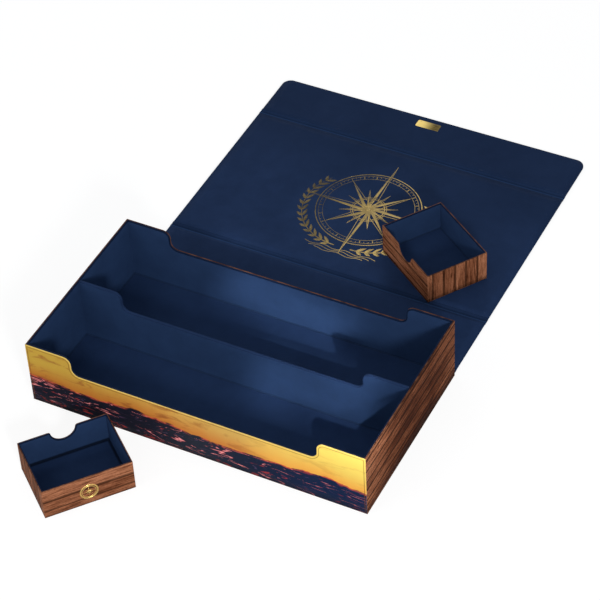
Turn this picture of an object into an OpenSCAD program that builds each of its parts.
// Two-lane card storage case with a wrap-round cover that opens flat behind it,
// and two loose accessory trays. Rigid-box construction: stiff boards, printed
// outer skins turned over the rims, and soft linings.
// Origin: centre of the case's underside. X right, Y back, Z up. Millimetres.

/* [Case] */
// Outside width of the case
case_w = 390; // [340:1:450]
// Outside depth of the case, front to back
case_d = 214; // [190:1:250]
// Outside height of the case
case_h = 80.2; // [70:0.1:95]
// Full-height length left at each end of a lowered wall
ear_w = 54; // [40:1:80]
// Depth of the lowered middle below the rim
cut_depth = 23; // [20:1:35]
// Corner radius of the lowered middle
cut_r = 9; // [4:0.5:9.5]

/* [Sheet materials] */
// Thickness of the stiff board
board_t = 2; // [1.6:0.1:2.6]
// Thickness of the outer skin
skin_t = 0.5; // [0.3:0.1:0.8]
// Thickness of the soft lining
lining_t = 0.6; // [0.4:0.1:1]
// Distance the skin turns down inside a rim
turn_in = 1; // [1:0.1:3]

/* [Cover] */
// Distance of the cover's side edges in from the case's sides
cover_inset = 1.2; // [0.5:0.1:3]
// Clearance between the closed cover and the front and rear walls
closing_gap = 0.4; // [0.35:0.05:1]
// Clearance between the rims and the closed lid
lid_gap = 1.5; // [0.5:0.1:3]
// Width of the bending groove between two cover boards
groove_w = 5.6; // [5.6:0.1:8]
// Free end of a groove's cloth before the next board
web_gap = 0.4; // [0.35:0.05:0.6]
// Length of the front flap from its hinge line
flap_len = 67.5; // [60:0.5:75]
// Radius of the flap's two outer corners
flap_r = 14; // [6:0.5:20]
// Width of the skin that shows round the cover lining
cover_margin = 1; // [0.8:0.1:4]

/* [Closure and label] */
// Length of a bar magnet
magnet_l = 20; // [10:1:30]
// Width of a bar magnet
magnet_w = 6; // [4:0.5:10]
// Thickness of a bar magnet
magnet_t = 1.2; // [0.8:0.1:1.4]
// Clearance round a magnet in its pocket
magnet_gap = 0.1; // [0.05:0.05:0.2]
// Distance of the magnets from the centre line
magnet_x = 110; // [60:1:125]
// Height of the magnets on the front wall
magnet_z = 40; // [30:1:48]
// Length of the label plate
label_l = 29; // [20:0.5:40]
// Width of the label plate
label_w = 11.5; // [8:0.5:16]
// Thickness of the label plate
label_t = 0.4; // [0.3:0.1:0.6]
// Height of the label plate above the lining
label_proud = 0.1; // [0.05:0.05:0.1]
// Distance of the label's centre in from the flap's edge
label_in = 13; // [9:0.5:20]

/* [Trays] */
// Outside length of a tray
tray_l = 97.6; // [80:0.2:102]
// Outside width of a tray
tray_w = 75.2; // [60:0.2:90]
// Outside height of a tray
tray_h = 37.9; // [30:0.1:50]
// Thickness of the tray's board
tray_board_t = 1.2; // [1:0.1:2]
// Radius of the finger notch
notch_r = 13.5; // [9:0.5:15]
// Depth of the finger notch below the rim
notch_depth = 14; // [12:0.5:15]
// Radius of the notch's shoulders
shoulder_r = 3; // [2:0.5:5]
// Diameter of the badge on a tray
badge_d = 20; // [12:1:24]
// Thickness of the badge
badge_t = 0.3; // [0.2:0.1:0.5]
// Height of the badge's centre
badge_z = 17; // [14:0.5:20]
// Turn of the tray that stands in front of the case
tray_a_turn = 50.05; // [0:0.01:180]
// Distance of that tray's centre left of the middle
tray_a_left = 94.5; // [40:0.1:140]
// Gap between that tray's nearest corner and the case
tray_a_gap = 16; // [4:0.5:60]
// Turn of the tray that stands on the lid
tray_b_turn = 145.14; // [0:0.01:180]
// Gap between that tray and the lid's side edge
tray_b_side = 26.3; // [10:0.5:60]
// Clearance under the tray that stands on the lid
tray_rest_gap = 0.3; // [0.3:0.05:0.5]
// How far that tray's nearest corner reaches over the lid's groove
tray_b_over = 0.7; // [-40:0.1:2]

/* [Hidden] */
$fn = 96;
reach = 1;
half_w = case_w / 2;
half_d = case_d / 2;

// The case's layers, from the underside up and from the outside in
floor_z = skin_t + board_t;
lane_floor_z = floor_z + lining_t;
rim_z = case_h - skin_t;
board_half_w = half_w - skin_t;
board_half_d = half_d - skin_t;
inside_half_w = board_half_w - board_t;
inside_half_d = board_half_d - board_t;
divider_half = board_t / 2;

// The cover's layers and hinge lines
cover_t = skin_t + board_t + lining_t;
web_t = skin_t + lining_t;
pivot_z = web_t / 2;
inner_reach = cover_t - pivot_z;
cover_half_w = half_w - cover_inset;
groove_half = groove_w / 2;
spine_axis_y = half_d + inner_reach + closing_gap;
lid_axis_y = spine_axis_y + case_h + lid_gap + inner_reach - pivot_z;
flap_axis_y = lid_axis_y + spine_axis_y + half_d + inner_reach + closing_gap;
flap_end_y = flap_axis_y + flap_len;
label_y = flap_end_y - label_in;

// The magnets face each other when the cover is shut
shut_axis_z = pivot_z + lid_axis_y - spine_axis_y;
flap_magnet_y = flap_axis_y + shut_axis_z - magnet_z;

// The trays' layers and places
tray_half_l = tray_l / 2;
tray_half_w = tray_w / 2;
tray_floor_z = skin_t + tray_board_t;
tray_rim_z = tray_h - skin_t;
tray_board_l = tray_half_l - skin_t;
tray_board_w = tray_half_w - skin_t;
tray_inside_l = tray_board_l - tray_board_t;
tray_inside_w = tray_board_w - tray_board_t;
function half_span(turn, along, across) = along * abs(sin(turn)) + across * abs(cos(turn));
tray_a_y = -half_d - tray_a_gap - half_span(tray_a_turn, tray_half_l, tray_half_w);
tray_b_x = cover_half_w - tray_b_side - half_span(tray_b_turn, tray_half_w, tray_half_l);
tray_b_y = lid_axis_y - tray_b_over + half_span(tray_b_turn, tray_half_l, tray_half_w);

wood = [0.58, 0.36, 0.24];
navy = [0.13, 0.20, 0.34];
greyboard = [0.55, 0.52, 0.47];
gold = [0.78, 0.64, 0.34];
sunset = [0.93, 0.66, 0.26];
steel = [0.7, 0.7, 0.72];

// A block between two opposite corners
module block(low, high) {
    translate(low) cube(high - low);
}

// Stands an X-Z outline upright, filling from y_low to y_high
module upright(y_low, y_high) {
    translate([0, y_high, 0]) rotate([90, 0, 0]) linear_extrude(y_high - y_low) children();
}

// ---- Walls of the case ----

// Outline of a lowered wall from its foot up. A positive grow adds a skin's
// thickness round the top edge and a negative one stays that far below it.
module lowered_outline(half, foot, grow) {
    top = rim_z + grow;
    low = top - cut_depth;
    edge = half_w - ear_w + skin_t - grow;
    outer_r = cut_r - skin_t + grow;
    inner_r = cut_r + skin_t - grow;
    translate([-half, foot]) square([2 * half, low - foot]);
    for (side = [0, 1]) mirror([side, 0]) {
        translate([edge, foot]) square([half - edge, top - outer_r - foot]);
        translate([edge + outer_r, foot]) square([half - edge - outer_r, top - foot]);
        translate([edge + outer_r, top - outer_r]) circle(outer_r);
        difference() {
            translate([edge - inner_r, low - reach]) square([inner_r + reach, inner_r + reach]);
            translate([edge - inner_r, low + inner_r]) circle(inner_r);
        }
    }
}

// Edge strip of a lowered wall, between two distances from the board's edge
module lowered_edge(half, grow, below) {
    difference() {
        lowered_outline(half, floor_z, grow);
        lowered_outline(half + reach, floor_z - reach, below);
    }
}

module base_board() {
    color(greyboard)
        block([-board_half_w, -board_half_d, skin_t], [board_half_w, board_half_d, floor_z]);
}

// Pockets or magnets on the front wall, grown by a clearance
module wall_magnet_blocks(gap) {
    for (side = [-1, 1])
        block([side * magnet_x - magnet_l / 2 - gap, -board_half_d - (gap > 0 ? reach : 0),
               magnet_z - magnet_w / 2 - gap],
              [side * magnet_x + magnet_l / 2 + gap, -board_half_d + magnet_t + gap,
               magnet_z + magnet_w / 2 + gap]);
}

module front_wall_board() {
    color(greyboard) difference() {
        upright(-board_half_d, -inside_half_d) lowered_outline(board_half_w, floor_z, 0);
        wall_magnet_blocks(magnet_gap);
    }
}

module wall_magnets() {
    color(steel) wall_magnet_blocks(0);
}

module rear_wall_board() {
    color(greyboard)
        upright(inside_half_d, board_half_d) lowered_outline(board_half_w, floor_z, 0);
}

module end_board(side) {
    color(greyboard) mirror([side < 0 ? 1 : 0, 0, 0])
        block([inside_half_w, -inside_half_d, floor_z], [board_half_w, inside_half_d, rim_z]);
}

module left_end_board() {
    end_board(-1);
}

module right_end_board() {
    end_board(1);
}

module divider_board() {
    color(greyboard)
        upright(-divider_half, divider_half) lowered_outline(inside_half_w, floor_z, 0);
}

module base_skin() {
    color(wood) block([-half_w, -half_d, 0], [half_w, half_d, skin_t]);
}

// Skin of a long wall: outer face, strip over the board's edge, and turned-in lip
module long_wall_skin() {
    upright(-half_d, -board_half_d) lowered_outline(half_w, skin_t, skin_t);
    upright(-board_half_d, -inside_half_d) lowered_edge(board_half_w, skin_t, 0);
    upright(-inside_half_d, -inside_half_d + skin_t)
        lowered_edge(inside_half_w, skin_t, -turn_in);
}

module front_skin() {
    color(sunset) long_wall_skin();
}

module rear_skin() {
    color(wood) mirror([0, 1, 0]) long_wall_skin();
}

// Skin of an end wall; its lip stops at the divider's binding
module end_skin(side) {
    lip_half_d = inside_half_d - skin_t;
    mirror([side < 0 ? 1 : 0, 0, 0]) {
        block([board_half_w, -board_half_d, skin_t], [half_w, board_half_d, case_h]);
        block([inside_half_w, -inside_half_d, rim_z], [half_w, inside_half_d, case_h]);
        for (back = [0, 1]) mirror([0, back, 0])
            block([inside_half_w - skin_t, divider_half + skin_t, rim_z - turn_in],
                  [inside_half_w, lip_half_d, rim_z]);
        for (back = [0, 1]) mirror([0, back, 0])
            block([inside_half_w - skin_t, divider_half + skin_t, rim_z],
                  [inside_half_w + board_t, lip_half_d, case_h]);
    }
}

module left_skin() {
    color(wood) end_skin(-1);
}

module right_skin() {
    color(wood) end_skin(1);
}

// Lining of the lane on the +Y side: floor and four walls, up to the lips
module lane_lining() {
    lining_top = rim_z - turn_in;
    block([-inside_half_w, divider_half, floor_z],
          [inside_half_w, inside_half_d, lane_floor_z]);
    upright(divider_half, divider_half + lining_t)
        lowered_outline(inside_half_w, floor_z, -turn_in);
    upright(inside_half_d - lining_t, inside_half_d)
        lowered_outline(inside_half_w, floor_z, -turn_in);
    for (side = [0, 1]) mirror([side, 0, 0])
        block([inside_half_w - lining_t, divider_half, floor_z],
              [inside_half_w, inside_half_d, lining_top]);
}

module front_lane_lining() {
    color(navy) mirror([0, 1, 0]) lane_lining();
}

module rear_lane_lining() {
    color(navy) lane_lining();
}

// Cloth over the divider's top edge and down both faces
module divider_binding() {
    color(navy) {
        upright(-divider_half, divider_half) lowered_edge(inside_half_w, skin_t, 0);
        for (back = [0, 1]) mirror([0, back, 0])
            upright(divider_half, divider_half + skin_t)
                lowered_edge(inside_half_w, skin_t, -turn_in);
    }
}

// ---- Cover ----

// Plan of a cover panel. The hinge edges stay where they are; the side edges,
// and the far edge where it has rounded corners, move in by inset.
module panel_plan(near_y, far_y, inset, corner) {
    half = cover_half_w - inset;
    if (corner == 0)
        translate([-half, near_y]) square([2 * half, far_y - near_y]);
    else {
        end_y = far_y - inset;
        r = corner - inset;
        translate([-half, near_y]) square([2 * half, end_y - r - near_y]);
        translate([-half + r, near_y]) square([2 * (half - r), end_y - near_y]);
        for (side = [-1, 1]) translate([side * (half - r), end_y - r]) circle(r);
    }
}

// Skin of a cover panel, turned up round the board and a little way over it
module panel_skin(near_y, far_y, corner) {
    lip_z = skin_t + board_t;
    linear_extrude(skin_t) panel_plan(near_y, far_y, 0, corner);
    linear_extrude(lip_z + skin_t) difference() {
        panel_plan(near_y, far_y, 0, corner);
        panel_plan(near_y - reach, far_y + (corner == 0 ? reach : 0), skin_t, corner);
    }
    translate([0, 0, lip_z]) linear_extrude(skin_t) difference() {
        panel_plan(near_y, far_y, 0, corner);
        panel_plan(near_y - reach, far_y + (corner == 0 ? reach : 0), cover_margin, corner);
    }
}

module panel_board(near_y, far_y, corner) {
    translate([0, 0, skin_t]) linear_extrude(board_t) panel_plan(near_y, far_y, skin_t, corner);
}

module panel_lining(near_y, far_y, corner) {
    translate([0, 0, skin_t + board_t]) linear_extrude(lining_t)
        panel_plan(near_y, far_y, cover_margin, corner);
}

// Thin cloth in a groove; it meets the first panel and stops short of the next
module groove_web(near_y, far_y) {
    block([-cover_half_w, near_y, 0], [cover_half_w, far_y - web_gap, web_t]);
}

module rear_web() {
    color(navy) groove_web(half_d, spine_axis_y + groove_half);
}

spine_near_y = spine_axis_y + groove_half;
spine_far_y = lid_axis_y - groove_half;
lid_near_y = lid_axis_y + groove_half;
lid_far_y = flap_axis_y - groove_half;
flap_near_y = flap_axis_y + groove_half;

module spine_board() {
    color(greyboard) panel_board(spine_near_y, spine_far_y, 0);
}

module spine_skin() {
    color(wood) panel_skin(spine_near_y, spine_far_y, 0);
}

module spine_lining() {
    color(navy) panel_lining(spine_near_y, spine_far_y, 0);
}

module lid_web() {
    color(navy) groove_web(spine_far_y, lid_near_y);
}

module lid_board() {
    color(greyboard) panel_board(lid_near_y, lid_far_y, 0);
}

module lid_skin() {
    color(wood) panel_skin(lid_near_y, lid_far_y, 0);
}

module lid_lining() {
    color(navy) panel_lining(lid_near_y, lid_far_y, 0);
}

module flap_web() {
    color(navy) groove_web(lid_far_y, flap_near_y);
}

// Pockets or magnets under the flap's lining, grown by a clearance
module flap_magnet_blocks(gap) {
    top_z = skin_t + board_t;
    for (side = [-1, 1])
        block([side * magnet_x - magnet_l / 2 - gap, flap_magnet_y - magnet_w / 2 - gap,
               top_z - magnet_t - gap],
              [side * magnet_x + magnet_l / 2 + gap, flap_magnet_y + magnet_w / 2 + gap,
               top_z + (gap > 0 ? reach : 0)]);
}

module flap_board() {
    color(greyboard) difference() {
        panel_board(flap_near_y, flap_end_y, flap_r);
        flap_magnet_blocks(magnet_gap);
    }
}

module flap_magnets() {
    color(steel) flap_magnet_blocks(0);
}

module flap_skin() {
    color(wood) panel_skin(flap_near_y, flap_end_y, flap_r);
}

// The label plate, let into the lining
module label_block() {
    top_z = cover_t + label_proud;
    block([-label_l / 2, label_y - label_w / 2, top_z - label_t],
          [label_l / 2, label_y + label_w / 2, top_z]);
}

module flap_lining() {
    color(navy) difference() {
        panel_lining(flap_near_y, flap_end_y, flap_r);
        label_block();
    }
}

module label_plate() {
    color(gold) label_block();
}

// ---- Trays, made round their own centre with the notch at +Y ----

// Outline of the notched wall; grow works as it does on the case's walls
module notched_outline(half, foot, grow) {
    top = tray_rim_z + grow;
    ring_z = tray_h - notch_depth + notch_r;
    ring_r = notch_r + skin_t - grow;
    bend_r = shoulder_r - skin_t + grow;
    bend_z = tray_h - shoulder_r;
    drop = ring_z - bend_z;
    bend_x = sqrt(pow(notch_r + shoulder_r, 2) - drop * drop);
    difference() {
        translate([-half, foot]) square([2 * half, top - foot]);
        translate([0, ring_z]) circle(ring_r);
        for (side = [0, 1]) mirror([side, 0]) difference() {
            polygon([[0, ring_z], [bend_x, bend_z], [bend_x, top + reach], [0, top + reach]]);
            translate([bend_x, bend_z]) circle(bend_r);
        }
    }
}

// Edge strip of the notched wall, between two distances from the board's edge
module notched_edge(half, grow, below) {
    difference() {
        notched_outline(half, tray_floor_z, grow);
        notched_outline(half + reach, tray_floor_z - reach, below);
    }
}

module tray_floor() {
    color(greyboard)
        block([-tray_board_l, -tray_board_w, skin_t], [tray_board_l, tray_board_w, tray_floor_z]);
}

module tray_plain_wall() {
    color(greyboard)
        block([-tray_board_l, -tray_board_w, tray_floor_z],
              [tray_board_l, -tray_inside_w, tray_rim_z]);
}

module tray_notch_wall() {
    color(greyboard)
        upright(tray_inside_w, tray_board_w) notched_outline(tray_board_l, tray_floor_z, 0);
}

module tray_end_wall(side) {
    color(greyboard) mirror([side < 0 ? 1 : 0, 0, 0])
        block([tray_inside_l, -tray_inside_w, tray_floor_z],
              [tray_board_l, tray_inside_w, tray_rim_z]);
}

module tray_underskin() {
    color(wood) block([-tray_half_l, -tray_half_w, 0], [tray_half_l, tray_half_w, skin_t]);
}

// Skin round the four walls, over the rim and a little way down inside
module tray_skin() {
    lip_l = tray_inside_l - skin_t;
    lip_w = tray_inside_w - skin_t;
    color(wood) {
        upright(tray_board_w, tray_half_w) notched_outline(tray_half_l, skin_t, skin_t);
        upright(tray_inside_w, tray_board_w) notched_edge(tray_board_l, skin_t, 0);
        upright(lip_w, tray_inside_w) notched_edge(tray_inside_l, skin_t, -turn_in);
        block([-tray_half_l, -tray_half_w, skin_t], [tray_half_l, -tray_board_w, tray_h]);
        block([-tray_board_l, -tray_half_w, tray_rim_z], [tray_board_l, -tray_inside_w, tray_h]);
        block([-tray_inside_l, -tray_inside_w, tray_rim_z - turn_in],
              [tray_inside_l, -lip_w, tray_h]);
        for (side = [0, 1]) mirror([side, 0, 0]) {
            block([tray_board_l, -tray_half_w, skin_t], [tray_half_l, tray_half_w, tray_h]);
            block([tray_inside_l, -tray_half_w, tray_rim_z], [tray_half_l, tray_half_w, tray_h]);
            block([lip_l, -tray_inside_w, tray_rim_z - turn_in],
                  [tray_inside_l, tray_inside_w, tray_h]);
        }
    }
}

// Soft lining of the floor and the four walls
module tray_lining() {
    lining_top = tray_rim_z - turn_in;
    color(navy) {
        block([-tray_inside_l, -tray_inside_w, tray_floor_z],
              [tray_inside_l, tray_inside_w, tray_floor_z + lining_t]);
        upright(tray_inside_w - lining_t, tray_inside_w)
            notched_outline(tray_inside_l, tray_floor_z, -turn_in);
        block([-tray_inside_l, -tray_inside_w, tray_floor_z],
              [tray_inside_l, -tray_inside_w + lining_t, lining_top]);
        for (side = [0, 1]) mirror([side, 0, 0])
            block([tray_inside_l - lining_t, -tray_inside_w, tray_floor_z],
                  [tray_inside_l, tray_inside_w, lining_top]);
    }
}

// Round badge on the face opposite the notch
module tray_badge() {
    color(gold) translate([0, -tray_half_w, badge_z])
        rotate([90, 0, 0]) cylinder(h = badge_t, d = badge_d);
}

// The tray that stands in front of the case
module at_tray_a() {
    translate([-tray_a_left, tray_a_y, 0]) rotate([0, 0, tray_a_turn]) children();
}

// The tray that stands on the lid
module at_tray_b() {
    translate([tray_b_x, tray_b_y, cover_t + tray_rest_gap])
        rotate([0, 0, tray_b_turn]) children();
}

base_board();
front_wall_board();
rear_wall_board();
left_end_board();
right_end_board();
divider_board();
base_skin();
front_skin();
rear_skin();
left_skin();
right_skin();
front_lane_lining();
rear_lane_lining();
divider_binding();
wall_magnets();
rear_web();
spine_board();
spine_skin();
spine_lining();
lid_web();
lid_board();
lid_skin();
lid_lining();
flap_web();
flap_board();
flap_skin();
flap_lining();
flap_magnets();
label_plate();
at_tray_a() tray_floor();  // tray_a_floor
at_tray_a() tray_plain_wall();  // tray_a_plain_wall
at_tray_a() tray_notch_wall();  // tray_a_notch_wall
at_tray_a() tray_end_wall(-1);  // tray_a_left_wall
at_tray_a() tray_end_wall(1);  // tray_a_right_wall
at_tray_a() tray_underskin();  // tray_a_underskin
at_tray_a() tray_skin();  // tray_a_skin
at_tray_a() tray_lining();  // tray_a_lining
at_tray_a() tray_badge();  // tray_a_badge
at_tray_b() tray_floor();  // tray_b_floor
at_tray_b() tray_plain_wall();  // tray_b_plain_wall
at_tray_b() tray_notch_wall();  // tray_b_notch_wall
at_tray_b() tray_end_wall(-1);  // tray_b_left_wall
at_tray_b() tray_end_wall(1);  // tray_b_right_wall
at_tray_b() tray_underskin();  // tray_b_underskin
at_tray_b() tray_skin();  // tray_b_skin
at_tray_b() tray_lining();  // tray_b_lining
at_tray_b() tray_badge();  // tray_b_badge
